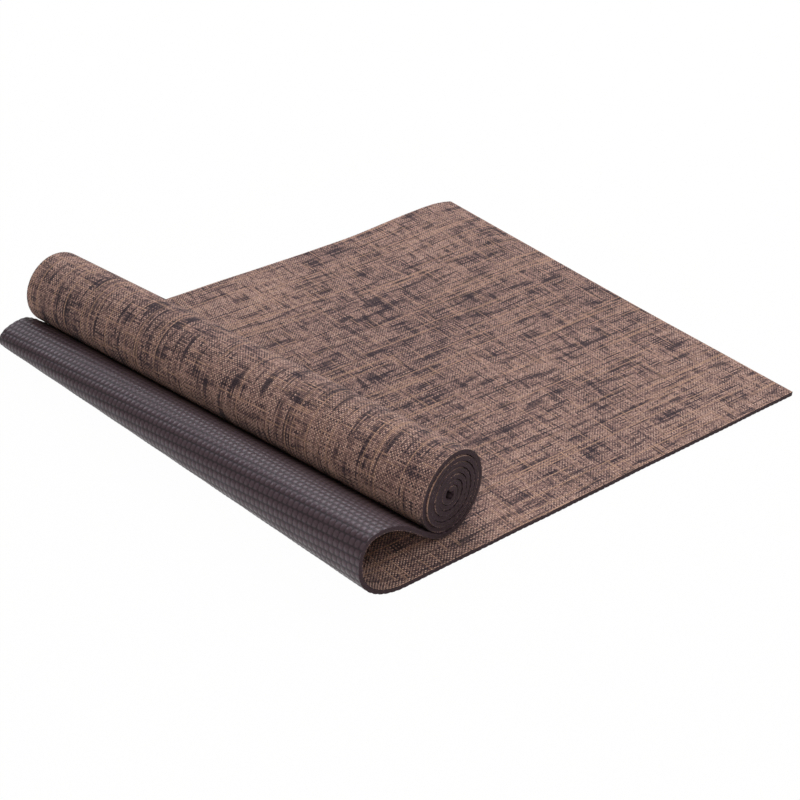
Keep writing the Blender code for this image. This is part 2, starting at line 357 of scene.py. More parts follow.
# %% Where the edges run
SETTLE_PER_TURN = 0.00038
SETTLE_DIRECTION = math.radians(278)
CREEP_TURNS = (0, 0.15, 0.45, 0.95, 1.15, 2, 3, 4, 5, 7)
CREEP = (0, 0.001, 0.0034, 0.0034, 0.0016, 0.0017, 0.0021, 0.0016, 0.0022, 0.0018)
ANGLE_STEPS_PER_TURN = 180

Course = namedtuple("Course", "front back front_normal back_normal front_run back_run")

fold_offset = MAT_WIDTH * math.tan(FOLD_SKEW)
front_start = np.array((FREE_END_X - FLAT_LENGTH, -MAT_WIDTH / 2, 0))
back_start = np.array((FREE_END_X - FLAT_LENGTH - fold_offset, MAT_WIDTH / 2, 0))
front_fold = fold_length(FRONT_SECTION, ROLL_AHEAD, outer_radius)
set_back = (front_fold * math.tan(FOLD_SKEW)
            + outer_radius * math.sin(LEAVE_ANGLE) * math.sin(FOLD_SKEW))
roll_front = front_start + FOLD_ACROSS * ROLL_AHEAD + FOLD_LINE * set_back
roll_front[2] = roll_height(outer_radius)
roll_back = roll_front + ROLL_AXIS * MAT_WIDTH
back_ahead = (roll_back - back_start) @ FOLD_ACROSS


def fold_edge(section, start, ahead, roll_end):
    """Points and normals of the sheet's middle along one edge of the fold."""
    pieces = [curve_points(s, FINE_STEPS) for s in fold_spans(section, ahead, outer_radius)]
    flat = np.concatenate([pieces[0][:1]] + [piece[1:] for piece in pieces])
    gone = distances(flat)
    joint = roll_end - ROLL_ACROSS * outer_radius * math.sin(LEAVE_ANGLE)
    drift = (joint - start) @ FOLD_LINE / gone[-1]
    heading = np.gradient(flat, axis=0)
    heading[0] = (-1, 0)
    heading /= np.linalg.norm(heading, axis=1)[:, None]
    points = (start + FOLD_ACROSS * flat[:, :1] + FOLD_LINE * (gone * drift)[:, None]
              + UP * flat[:, 1:])
    return points, FOLD_ACROSS * heading[:, 1:] - UP * heading[:, :1]


def roll_edge(roll_end):
    """Points and normals of the sheet's middle round one end of the roll."""
    last = math.tau * turns - LEAVE_ANGLE
    count = round(ANGLE_STEPS_PER_TURN * turns)
    angle = np.linspace(-LEAVE_ANGLE, last, count + 1)[1:]
    wound_on = (angle + LEAVE_ANGLE) / math.tau
    radius = winding_radius(outer_radius, angle + LEAVE_ANGLE)
    outward = ROLL_ACROSS * np.sin(angle)[:, None] - UP * np.cos(angle)[:, None]
    along = ROLL_ACROSS * np.cos(angle)[:, None] + UP * np.sin(angle)[:, None]
    lead = np.arctan(PITCH / math.tau / radius)[:, None]
    settle = SETTLE_PER_TURN * (ROLL_ACROSS * math.sin(SETTLE_DIRECTION)
                                - UP * math.cos(SETTLE_DIRECTION))
    creep = np.interp(wound_on, CREEP_TURNS, CREEP)
    points = (roll_end + outward * radius[:, None] + ROLL_AXIS * creep[:, None]
              + settle * np.maximum(wound_on - 1, 0)[:, None])
    return points, outward * np.cos(lead) + along * np.sin(lead)


def edge_course(start, section, ahead, roll_end):
    """One edge of the sheet, from the free end to the core of the roll: its points, its
    normals and where the roll begins."""
    free = np.array((FREE_END_X, start[1], SHEET_THICKNESS / 2))
    shares = np.linspace(0, 1, FINE_STEPS + 1)[:-1, None]
    flat = free + (start + UP * SHEET_THICKNESS / 2 - free) * shares
    fold, fold_normals = fold_edge(section, start, ahead, roll_end)
    roll, roll_normals = roll_edge(roll_end)
    points = np.concatenate((flat, fold, roll))
    normals = np.concatenate((np.tile(UP, (len(flat), 1)), fold_normals, roll_normals))
    return points, normals, len(flat) + len(fold) - 1


def lay_course():
    """Both edges.  The back's run is eased over the winding so that both end alike."""
    front, front_normal, joint = edge_course(front_start, FRONT_SECTION, ROLL_AHEAD, roll_front)
    back, back_normal, _ = edge_course(back_start, BACK_SECTION, back_ahead, roll_back)
    front_run, back_run = distances(front), distances(back)
    wound_front, wound_back = (run[-1] - back_run[joint] for run in (front_run, back_run))
    back_run[joint:] = (back_run[joint]
                        + (back_run[joint:] - back_run[joint]) * wound_front / wound_back)
    return Course(front, back, front_normal, back_normal, front_run, back_run)


course = lay_course()
INNER_END_RUN = course.front_run[-1]
print(f"the sheet's course is {INNER_END_RUN:.3f} m long")

# %% [markdown]
# The free end of a mat that has been rolled up keeps some of its curl.  Here the back corner
# rises most, the lift dies out towards the front, and the edge itself dips again.  The
# function below places any point of the sheet, by its run from the free end, its place
# across and its depth.

# %% Place points on the sheet
CURL_HEIGHT = 0.0087
CURL_CREST_RUN = 0.038
CURL_FADE_LENGTH = 0.165
CURL_WIDTH = 0.36
CURL_END_SHARE = 0.5
CURL_SOFTNESS = 0.1
RIPPLE_HEIGHT = 0.00035
RIPPLE_LENGTH = 0.19
RIPPLE_WIDTH = 0.27


def free_end_rise(run, place):
    """How far the sheet stands off the floor near its free end."""
    across = (place - MAT_WIDTH + CURL_WIDTH) / CURL_WIDTH
    height = CURL_HEIGHT * (across + np.hypot(across, CURL_SOFTNESS)) / 2
    before = 1 - (1 - CURL_END_SHARE) * (1 - np.clip(run / CURL_CREST_RUN, 0, 1)) ** 2
    after = np.cos(np.clip((run - CURL_CREST_RUN) / CURL_FADE_LENGTH, 0, 1) * math.pi / 2) ** 2
    fade_in = np.minimum(run / CURL_CREST_RUN, 1)
    fade_out = np.clip((FLAT_LENGTH - run) / CURL_FADE_LENGTH, 0, 1)
    ripple = 1 + np.sin(run / RIPPLE_LENGTH * math.tau + place / RIPPLE_WIDTH * math.tau)
    return height * before * after + fade_in * fade_out * RIPPLE_HEIGHT * ripple / 2


def between(first, second, part):
    """The value or point that lies part of the way from the first to the second."""
    return first * (1 - part) + second * part


def course_step(run, share):
    """The last step of the course before each run, found by halving, and the part of the
    next step that is left."""
    low = np.zeros(run.shape, int)
    high = np.full(run.shape, len(course.front_run) - 1)
    while np.any(high - low > 1):
        middle = (low + high) // 2
        before = between(course.front_run[middle], course.back_run[middle], share) <= run
        low, high = np.where(before, middle, low), np.where(before, high, middle)
    start, stop = (between(course.front_run[at], course.back_run[at], share)
                   for at in (low, high))
    return low, high, np.clip((run - start) / (stop - start), 0, 1)


def sheet_points(run, place, depth):
    """Points of the sheet, for arrays of run, place across and depth below the jute side."""
    run, place, depth = np.broadcast_arrays(run, place, depth)
    share = place / MAT_WIDTH
    low, high, part = course_step(run, share)

    def along(*edges):
        near, far = (between(edge[low], edge[high], part[..., None]) for edge in edges)
        return between(near, far, share[..., None])

    rise = (SHEET_THICKNESS / 2 - depth)[..., None]
    points = along(course.front, course.back)
    points = points + rise * along(course.front_normal, course.back_normal)
    points[..., 2] += free_end_rise(run, place)
    return points


print("the roll's far end is at", np.round(roll_back, 3).tolist())

# %% [markdown]
# ## From a grid to a ply
# A ply has a face that shows and a back that is bonded to its neighbour.  The face gets a
# fine grid and the back a coarse one that uses some of the same lines, so the walls between
# them close without gaps.  Each vertex keeps its run, place and depth in an attribute named
# cloth, so that weave and grain follow the sheet round the fold and the roll.  A second set
# of coordinates lays every face out on a square without overlap, for anyone who bakes it.

# %% Build a ply's mesh
BAKE_MARGIN = 0.005
BAKE_BANDS = {"face": (0.14, 0.995), "back": (0.075, 0.13)}
BAKE_WALLS = ((0.005, 0.015), (0.02, 0.03), (0.035, 0.045), (0.05, 0.06))
SHARP_ANGLE = math.radians(55)


def pick_lines(lines, least):
    """Numbers of the lines that a coarse grid keeps, no closer together than least."""
    kept = [0]
    for number, line in enumerate(lines[1:-1], 1):
        if line - lines[kept[-1]] >= least(line) and lines[-1] - line >= least(line) / 2:
            kept.append(number)
    return kept + [len(lines) - 1]


def grid_faces(ids):
    """The quads between neighbouring rows and columns of vertex numbers."""
    return np.stack((ids[:-1, :-1], ids[:-1, 1:], ids[1:, 1:], ids[1:, :-1]), -1).reshape(-1, 4)


def band_places(rows, columns, band):
    """Where a grid's vertices lie on the square: shares of its width, and of a band."""
    across = np.tile(np.linspace(BAKE_MARGIN, 1 - BAKE_MARGIN, columns), rows)
    up = np.repeat(np.linspace(*band, rows), columns)
    return np.stack((across, up), -1)


def wall(fine, coarse, picked, strip):
    """Polygons between a fine line and a coarse one opposite it, and their square places."""
    faces, places = [], []
    for number, (low, high) in enumerate(zip(picked, picked[1:])):
        steps = list(range(low, high + 1))
        faces.append([int(fine[s]) for s in steps] + [int(coarse[number + 1]), int(coarse[number])])
        along = [BAKE_MARGIN + (1 - 2 * BAKE_MARGIN) * s / (len(fine) - 1)
                 for s in steps + [high, low]]
        places += list(zip(along, [strip[0]] * len(steps) + [strip[1]] * 2))
    return faces, places


def closed_ply(name, run, place, depth, back_depth, back_rows, back_columns):
    """A closed ply from grids of run, place and depth, with its walls as material 1."""
    rows, columns = run.shape
    picked = np.ix_(back_rows, back_columns)
    fine = np.arange(rows * columns).reshape(rows, columns)
    coarse = fine.size + np.arange(len(back_rows) * len(back_columns)).reshape(
        len(back_rows), len(back_columns))
    back = (run[picked], place[picked], np.full(coarse.shape, back_depth))
    cloth = np.concatenate([np.stack(side, -1).reshape(-1, 3)
                            for side in ((run, place, depth), back)])
    faces = np.concatenate((grid_faces(fine), grid_faces(coarse)[:, ::-1])).tolist()
    at = np.concatenate((band_places(rows, columns, BAKE_BANDS["face"]),
                         band_places(*coarse.shape, BAKE_BANDS["back"])))
    flat_places = at[np.array(faces)].reshape(-1, 2).tolist()
    quads = len(faces)
    edges = ((fine[0], coarse[0], back_columns), (fine[-1], coarse[-1], back_columns),
             (fine[:, 0], coarse[:, 0], back_rows), (fine[:, -1], coarse[:, -1], back_rows))
    for edge, strip in zip(edges, BAKE_WALLS):
        polygons, places = wall(*edge, strip)
        faces += polygons
        flat_places += places
    mesh = bpy.data.meshes.new(name)
    mesh.from_pydata(sheet_points(*cloth.T).tolist(), [], faces)
    mesh.attributes.new("cloth", "FLOAT_VECTOR", "POINT").data.foreach_set(
        "vector", cloth.astype(np.float32).ravel())
    square = mesh.uv_layers.new(name="OFBake")
    square.data.foreach_set("uv", np.array(flat_places, np.float32).ravel())
    mesh.polygons.foreach_set("material_index", [0] * quads + [1] * (len(faces) - quads))
    turn_outward(mesh)
    mesh.shade_smooth()
    mesh.set_sharp_from_angle(angle=SHARP_ANGLE)
    return add_object(name, mesh)


def turn_outward(mesh):
    """Turns every face of a closed mesh to point outward."""
    shell = bmesh.new()
    shell.from_mesh(mesh)
    bmesh.ops.recalc_face_normals(shell, faces=shell.faces)
    shell.to_mesh(mesh)
    shell.free()


print("a ply has two materials, for its skin and its cut edges")

# %% [markdown]
# ## Embossed pads
# The underside grips the floor with rows of small rounded pads, each row set half a pad
# over from the last.  A pad is a little shorter than its pitch, so the grooves between rows
# are the wider ones.  A bump map could stand in for the pads, but they show in outline
# along the cut edges and the fold's crest, so they are real relief.  The grid's lines fall
# in the grooves and on the shoulders and crowns, which is enough for smooth shading to
# round them.  The flat run hides its pads, so a plainer grid does there.

# %% Pads
PAD_RUN_PITCH = 0.0075
PAD_PLACE_PITCH = 0.0069
PAD_HEIGHT = 0.0006
PAD_LENGTH_SHARE = 0.88
PAD_SQUARENESS = 2.4
PAD_FULLNESS = 4
PAD_CUT_SHARE = 0.25
FULL = ((0, 0.06, 0.16, 0.5, 0.84, 0.94), (0, 0.06, 0.2, 0.44, 0.5, 0.56, 0.8, 0.94))
PLAIN = ((0, 0.3, 0.7), (0, 0.25, 0.5, 0.75))
LEAST_GAP_SHARE = 0.04
ROUNDING = 1e-6


def pad_relief(run, place):
    """Height of the pads, from 0 in a groove to 1 on a crown."""
    row = np.floor(run / PAD_RUN_PITCH + ROUNDING)
    along = (run / PAD_RUN_PITCH - row - 0.5) / PAD_LENGTH_SHARE
    column = place / PAD_PLACE_PITCH + PAD_CUT_SHARE + row % 2 / 2
    across = column - np.floor(column + ROUNDING) - 0.5
    power = PAD_SQUARENESS
    out = (np.abs(2 * along) ** power + np.abs(2 * across) ** power) ** (1 / power)
    return 1 - np.minimum(out, 1) ** PAD_FULLNESS


def pad_lines(start, stop, pitch, shares, offset=0.0):
    """Grid lines between start and stop that fall at the same shares of every pad."""
    first = math.floor(start / pitch) - 1
    last = math.ceil(stop / pitch) + 1
    lines = [(number + share - offset) * pitch for number in range(first, last)
             for share in shares]
    clear = pitch * LEAST_GAP_SHARE
    return np.array([start] + [x for x in lines if start + clear < x < stop - clear] + [stop])


print("about", round(MAT_WIDTH / PAD_PLACE_PITCH), "pads lie in a row")

# %% [markdown]
# ## Shared finishes
# Effects that more than one material needs are node groups.  Yarn grid turns the cloth
# coordinates into a plain weave: which yarn lies on top, its number and its height.  Yarn
# tone gives each yarn its own shade along its length, as hand-spun jute has slubs where
# the fibre bunches up.  Cut cells is the fine pitting of foam.

# %% Start a node group
Group = namedtuple("Group", "tree ins outs")


def new_group(name, inputs, outputs):
    """A shader node group, from its sockets' names.  Cloth is a vector, the rest values."""
    tree = bpy.data.node_groups.new(name, "ShaderNodeTree")
    for title in inputs:
        kind = "NodeSocketVector" if title == "Cloth" else "NodeSocketFloat"
        tree.interface.new_socket(title, in_out="INPUT", socket_type=kind)
    for title in outputs:
        tree.interface.new_socket(title, in_out="OUTPUT", socket_type="NodeSocketFloat")
    ins = tree.nodes.new("NodeGroupInput").outputs
    outs = tree.nodes.new("NodeGroupOutput").inputs
    return Group(tree, ins, outs)


def place_group(tree, group, sources):
    """The outputs of a group placed in a material, fed by name."""
    return add_node(tree, "ShaderNodeGroup", sources, node_tree=group.tree).outputs


print("groups have named sockets")

# %% Yarn grid
YARN_PITCH = 0.00193
YARN_ROUNDNESS = 2.4
YARN_ARCH = 0.6
WANDER_SCALES = (31.0, 37.0)
WANDER_YARNS = 6.0


def yarn_bulge(tree, across, along):
    """Height of a yarn where it lies on top: round across, arched along."""
    off = calc(tree, "ABSOLUTE", scaled(tree, across, 2.0, -1.0))
    round_part = calc(tree, "SUBTRACT", 1.0, calc(tree, "POWER", off, YARN_ROUNDNESS))
    arch = calc(tree, "SINE", calc(tree, "MULTIPLY", along, math.pi))
    return calc(tree, "MULTIPLY", round_part, scaled(tree, arch, YARN_ARCH, 1 - YARN_ARCH))


yarn_grid = new_group("yarn_grid", ("Cloth", "Pitch", "Wander"),
                      ("Warp Number", "Weft Number", "Warp On Top", "Height"))
tree, ins, outs = yarn_grid
sides = add_node(tree, "ShaderNodeSeparateXYZ", (ins["Cloth"],)).outputs
numbers, parts = [], []
for side, scale in zip(sides, WANDER_SCALES):
    drift = calc(tree, "SUBTRACT", noise(tree, ins["Cloth"], scale, 1.0), 0.5)
    strayed = calc(tree, "MULTIPLY", drift, calc(tree, "MULTIPLY", ins["Wander"], WANDER_YARNS))
    counted = calc(tree, "ADD", calc(tree, "DIVIDE", side, ins["Pitch"]), strayed)
    numbers.append(calc(tree, "FLOOR", counted))
    parts.append(calc(tree, "FRACT", counted))
on_top = calc(tree, "FLOORED_MODULO", calc(tree, "ADD", *numbers), 2.0)
warp = yarn_bulge(tree, parts[1], parts[0])
weft = yarn_bulge(tree, parts[0], parts[1])
for name, value in (("Weft Number", numbers[0]), ("Warp Number", numbers[1]),
                    ("Warp On Top", on_top), ("Height", mix_values(tree, on_top, weft, warp))):
    tree.links.new(value, outs[name])
print("yarns lie", YARN_PITCH * 1000, "mm apart")

# %% Yarn tone
# Each with its stride in the noise from yarn to yarn, and where it starts and is full.
YARN_TONES = (("Tone", 7.31, 0.36, 0.64), ("Slub", 11.73, 0.59, 0.67))

yarn_tone = new_group("yarn_tone", ("Along", "Number", "Tone Length", "Slub Length"),
                      ("Tone", "Slub"))
tree, ins, outs = yarn_tone
for title, stride, low, high in YARN_TONES:
    apart = add_node(tree, "ShaderNodeCombineXYZ", (
        calc(tree, "DIVIDE", ins["Along"], ins[title + " Length"]),
        calc(tree, "MULTIPLY", ins["Number"], stride), 0.0)).outputs[0]
    tree.links.new(fade(tree, noise(tree, apart, 1.0, 1.0), low, high), outs[title])
print("each yarn has its own tone")

# %% Cut cells
PIT_LEVELS = (0.1, 0.6)
GRAIN_SCALE, GRAIN_DETAIL = 0.35, 3.0

cut_cells = new_group("cut_cells", ("Cloth", "Cell Size"), ("Height", "Grain"))
tree, ins, outs = cut_cells
packed = add_node(tree, "ShaderNodeVectorMath", {0: ins["Cloth"], "Scale": calc(
    tree, "DIVIDE", 1.0, ins["Cell Size"])}, operation="SCALE").outputs[0]
cell = add_node(tree, "ShaderNodeTexVoronoi", {"Vector": packed, "Scale": 1.0}).outputs[0]
tree.links.new(fade(tree, cell, *PIT_LEVELS), outs["Height"])
tree.links.new(noise(tree, packed, GRAIN_SCALE, GRAIN_DETAIL), outs["Grain"])
print("foam cells are pitted")

# %% [markdown]
# ## Jute
# The facing is a coarse plain weave of tan jute over a darker ground.  Seen from a step
# away it isn't a grid but a cross-hatching: light slubs one yarn wide run both ways, between
# dark patches that took more dye.  So the colour is picked by yarn, and only the small
# bulges of the weave are a bump.  All that makes a yarn lighter or darker adds up to a tone
# from 0 to 1, and a ramp turns that tone into a shade of jute.

# %% Jute colours
JUTE_GROUND = linear(46, 29, 27)
JUTE_SLUB = linear(230, 184, 156)
JUTE_SHADES = [(number / 4, linear(*shade)) for number, shade in enumerate((
    (63, 50, 60), (96, 77, 82), (162, 128, 121), (215, 174, 160), (239, 200, 183)))]


def shade_steps(tree, value, steps):
    """A colour ramp over (place, colour) steps."""
    node = add_node(tree, "ShaderNodeValToRGB", (value,))
    stops = node.color_ramp.elements
    for number, (place, colour) in enumerate(steps):
        stop = stops[number] if number < 2 else stops.new(place)
        stop.position = place
        stop.color = colour
    return node.outputs[0]


def by_run(tree, run, levels):
    """A level that changes along the sheet, from (run, level) pairs."""
    steps = tuple((at / MAT_LENGTH, (level, level, level, 1.0)) for at, level in levels)
    return shade_steps(tree, calc(tree, "DIVIDE", run, MAT_LENGTH), steps)


def cloth_coordinates(tree):
    """The vector of run, place and depth, and its three parts."""
    cloth = add_node(tree, "ShaderNodeAttribute", attribute_name="cloth").outputs["Vector"]
    return cloth, add_node(tree, "ShaderNodeSeparateXYZ", (cloth,)).outputs


def finished(material, colour, roughness, height, relief, constants):
    """The material, with its Principled shader and a bump of a height in metres."""
    tree = material.node_tree
    bump = add_node(tree, "ShaderNodeBump", {"Height": height, "Strength": 1.0,
                                             "Distance": relief})
    shader = add_node(tree, "ShaderNodeBsdfPrincipled", {
        "Base Color": colour, "Roughness": roughness, "Normal": bump.outputs[0], **constants})
    add_node(tree, "ShaderNodeOutputMaterial", (shader.outputs[0],))
    return material


print(len(JUTE_SHADES), "shades of jute")

# %% [markdown]
# Jute takes dye unevenly.  Each crossing of two yarns has its own tone, dark patches lie
# along warp and weft, and batches of yarn differ a little.  A broad darker band runs over
# the fold and the roll; it is painted shade, and away from it the jute is painted a little
# lighter.  Inside the fold the jute is painted darker as shade, the warp on top gets a
# painted highlight there, and the dark patches are fainter.

# %% Tone of the weave
Yarn = namedtuple("Yarn", "tone_length slub_length slub_shows patch_size patch_levels patch_depth")
WARP = Yarn(0.06, 0.24, (0.6, 1.0), (0.045, 0.011), (0.46, 0.6), 0.26)
WEFT = Yarn(0.035, 0.05, (0.8, 0.3), (0.011, 0.036), (0.48, 0.62), 0.2)
LEAST_TONE, YARN_SHARE, OWN_SHARE = 0.12, 0.34, 0.36
# A broad band of painted shade along the sheet: darker along it, painted a little lighter away from
# it.
SHADE_BAND_PLACES, SHADE_BAND_REACH = ((0.6, 0.36), (0.9, 0.52)), 0.2
SHADE_BAND_TONES = (-0.07, 0.03)
BATCHES_PER_METRE, BATCH_LEVELS, BATCH_DEPTH = 6, (0.35, 0.65), 0.1
SPECKLE_LEAST, SPECKLE_SPREAD = 0.5, 0.9
PATCH_DETAIL, PATCH_TONE_PULL, PATCH_COVER = 3.0, 0.12, 0.5
WARP_LIGHT = 0.27
# Between these runs, inside the fold, the jute is painted darker as shade and the warp on top gets
# a painted highlight; the dark patches are fainter there.
FOLD_SHADE_RUNS = ((0.4, 0.0), (0.5, 1.0), (0.7, 1.0), (0.78, 0.0))
FOLD_SPECKLE_LOSS, FOLD_PAINTED_WARP_HIGHLIGHT, FOLD_PAINTED_SHADE = 0.45, 0.33, 0.24


def weave_tone(tree, run, place, grid, warp, weft):
    """The weave's tone, with painted shade and highlights in it, and each crossing's own share of
    it.
    """
    over = grid["Warp On Top"]
    cell = add_node(tree, "ShaderNodeCombineXYZ", (grid["Weft Number"], grid["Warp Number"],
                                                   0.0)).outputs[0]
    own = add_node(tree, "ShaderNodeTexWhiteNoise", (cell,), noise_dimensions="2D").outputs[0]
    tone = scaled(tree, mix_values(tree, over, weft["Tone"], warp["Tone"]), YARN_SHARE,
                  LEAST_TONE)
    tone = scaled(tree, own, OWN_SHARE, tone)
    # Painted shade along the band, and a little painted light away from it.
    off_shade_band = calc(tree, "SUBTRACT", place, by_run(tree, run, SHADE_BAND_PLACES))
    tone = calc(tree, "ADD", tone, fade(tree, calc(tree, "ABSOLUTE", off_shade_band), 0.0,
                                        SHADE_BAND_REACH, *SHADE_BAND_TONES))
    batch = noise(tree, cell, YARN_PITCH * BATCHES_PER_METRE, 1.0)
    tone = scaled(tree, fade(tree, batch, *BATCH_LEVELS), -BATCH_DEPTH, tone)
    # Where the painted shade and the painted warp highlight inside the fold apply.
    fold_painted_share = by_run(tree, run, FOLD_SHADE_RUNS)
    speckle = calc(tree, "MULTIPLY", scaled(tree, own, SPECKLE_SPREAD, SPECKLE_LEAST),
                   scaled(tree, fold_painted_share, -FOLD_SPECKLE_LOSS, 1.0))
    for kind, yarn in ((WARP, warp), (WEFT, weft)):
        patch = patches(tree, cell, [YARN_PITCH / size for size in kind.patch_size] + [1.0],
                        PATCH_DETAIL)
        dye = scaled(tree, yarn["Tone"], -PATCH_TONE_PULL, patch)
        dark = calc(tree, "MULTIPLY", speckle, fade(tree, dye, *kind.patch_levels))
        tone = scaled(tree, dark, -kind.patch_depth, tone)
        over = calc(tree, "MULTIPLY", over, scaled(tree, dark, -PATCH_COVER, 1.0))
    # The warp on top is lighter, with a painted highlight added inside the fold; then the fold's
    # painted shade.
    tone = scaled(tree, over, scaled(tree, fold_painted_share, FOLD_PAINTED_WARP_HIGHLIGHT, WARP_LIGHT), tone)
    return scaled(tree, fold_painted_share, -FOLD_PAINTED_SHADE, tone), own


# Prints the runs between which the fold's painted shade and highlight lie.
print("the weave is open from", FOLD_SHADE_RUNS[0][0], "to", FOLD_SHADE_RUNS[-1][0], "m")

# %% [markdown]
# Along the sheet's edges loose pale fibre stands out of the glue.  How strongly it shows
# along the sheet is partly painted light: it shows on the flat run and the fold, fades over
# the first turn, shows brightest on the second as a painted highlight on that turn's proud
# rim, and is lost further in as painted shade between the tight inner turns.  At the cut
# face itself glue darkens the ends of the yarns, and painted shade darkens that face too.

# %% Jute materials
EDGE_FUZZ = 0.0012
# Strength of the edge fibre along the sheet: real fibre on the flat run and fold, a painted
# highlight on the second turn's rim, painted shade further in.
FUZZ_AND_EDGE_LIGHT_BY_RUN = ((0.0, 0.6), (0.74, 0.6), (0.8, 0.5), (0.94, 0.3), (1.11, 0.2), (1.16, 1.0),
              (1.25, 1.0), (1.28, 0.0))
FUZZ_LIGHT, FRAY_LEAST, FRAY_SPREAD = 0.25, 0.1, 0.9
# The cut face is darker: glue on the yarn ends, and painted shade.
CUT_GLUE_AND_SHADE = 0.6
SLUB_STRENGTH, SLUB_COVER, SLUB_RELIEF = 0.75, 0.4, 0.35
GAP_FLOOR, GAP_RIM, GAP_SPREAD = 0.04, 0.76, 0.24
JUTE_WANDER, JUTE_RELIEF = 0.13, 0.0007
JUTE_ROUGHNESS, JUTE_GLOSS = 0.95, 0.15


def edge_fuzz_and_light(tree, run, place):
    """How much loose fibre shows, with painted light in its strength along the sheet: a narrow line
    along both sides and the free end.
    """
    from_edge = calc(tree, "MINIMUM", place, calc(tree, "SUBTRACT", MAT_WIDTH, place))
    from_edge = calc(tree, "MINIMUM", from_edge, run)
    fuzz_and_edge_light = fade(tree, from_edge, EDGE_FUZZ / 2, EDGE_FUZZ, 1.0, 0.0)
    return calc(tree, "MULTIPLY", fuzz_and_edge_light, by_run(tree, run, FUZZ_AND_EDGE_LIGHT_BY_RUN))


def light_slubs(tree, grid, warp, weft):
    """Where a slub of either yarn shows.  It shows most where its own yarn lies on top."""
    return calc(tree, "MAXIMUM", *(
        calc(tree, "MULTIPLY", yarn["Slub"],
             fade(tree, grid["Warp On Top"], 0.0, 1.0, *kind.slub_shows))
        for kind, yarn in ((WARP, warp), (WEFT, weft))))


def jute_material(name, cut):
    """Woven jute, or its cut edge."""
    material, tree = new_material(name)
    cloth, (run, place, _) = cloth_coordinates(tree)
    grid = place_group(tree, yarn_grid, {"Cloth": cloth, "Pitch": YARN_PITCH,
                                         "Wander": JUTE_WANDER})
    warp, weft = (place_group(tree, yarn_tone, {
        "Along": along, "Number": grid[number], "Tone Length": kind.tone_length,
        "Slub Length": kind.slub_length}) for kind, along, number in (
            (WARP, run, "Warp Number"), (WEFT, place, "Weft Number")))
    tone, own = weave_tone(tree, run, place, grid, warp, weft)
    # Loose fibre along the edges, with painted light and shade in its strength along the sheet.
    fuzz_and_edge_light = edge_fuzz_and_light(tree, run, place)
    tone = scaled(tree, fuzz_and_edge_light, FUZZ_LIGHT, tone)
    if cut:
        # Darker cut face: glue on the yarn ends, and painted shade.
        tone = calc(tree, "SUBTRACT", tone, CUT_GLUE_AND_SHADE)
        slub = 0.0
    else:
        slub = calc(tree, "MULTIPLY", light_slubs(tree, grid, warp, weft), SLUB_STRENGTH)
        frayed = calc(tree, "MULTIPLY", fuzz_and_edge_light, scaled(tree, own, FRAY_SPREAD, FRAY_LEAST))
        slub = calc(tree, "MAXIMUM", slub, frayed)
    gap = fade(tree, grid["Height"], GAP_FLOOR, scaled(tree, own, -GAP_SPREAD, GAP_RIM), 1.0, 0.0)
    gap = calc(tree, "MULTIPLY", gap, scaled(tree, slub, -SLUB_COVER, 1.0))
    colour = mix_colours(tree, slub, shade_steps(tree, tone, JUTE_SHADES), JUTE_SLUB)
    colour = mix_colours(tree, gap, colour, JUTE_GROUND)
    height = scaled(tree, slub, SLUB_RELIEF, grid["Height"])
    roughness = scaled(tree, tone, -JUTE_GLOSS, JUTE_ROUGHNESS)
    return finished(material, colour, roughness, height, JUTE_RELIEF, {
        "Specular IOR Level": 0.2, "Sheen Weight": 0.08, "Sheen Roughness": 0.6})


jute_weave = jute_material("jute_weave", False)
jute_cut = jute_material("jute_cut_ends", True)
print("jute in", jute_weave.name, "and", jute_cut.name)

# %% [markdown]
# ## Foam
# Both foams are one dark purple-brown compound.  Its moulded skin has a soft gloss that
# catches on the crown of each pad and comes and goes in long soft patches, and the grooves
# are duller.  The skin's colour carries painted light: a painted highlight lightens each
# pad's crown and painted shade darkens the grooves.  Where it was cut it is matt and finely
# pitted, with painted shade in its pits.

# %% Foam skin and cut foam
# The groove colour is painted shade and also the grain's dark flecks; the crown colour is a painted
# highlight.
FOAM_GRAIN_AND_GROOVE_SHADE = linear(50, 39, 43)
FOAM_SKIN = linear(76, 61, 66)
FOAM_CROWN_HIGHLIGHT = linear(86, 70, 76)
FOAM_CUT = linear(72, 57, 62)
FOAM_PIT_SHADE = linear(42, 32, 36)
FOAM_SKIN_AND_PAINTED_RELIEF = ((0.0, FOAM_GRAIN_AND_GROOVE_SHADE), (0.25, FOAM_SKIN), (1.0, FOAM_CROWN_HIGHLIGHT))
SKIN_CELL, SKIN_GRAIN, SKIN_RELIEF = 0.0005, 0.25, 0.00006
SKIN_ROUGHNESS, CROWN_GLOSS = 0.5, 0.15
GLOSS_PATCH, GLOSS_DETAIL = (0.09, 0.03), 2.0
GLOSS_LEVELS, GLOSS_DEPTH = (0.35, 0.7), 0.06
CUT_CELL, CUT_ROUGHNESS, CUT_RELIEF = 0.00035, 0.85, 0.00012


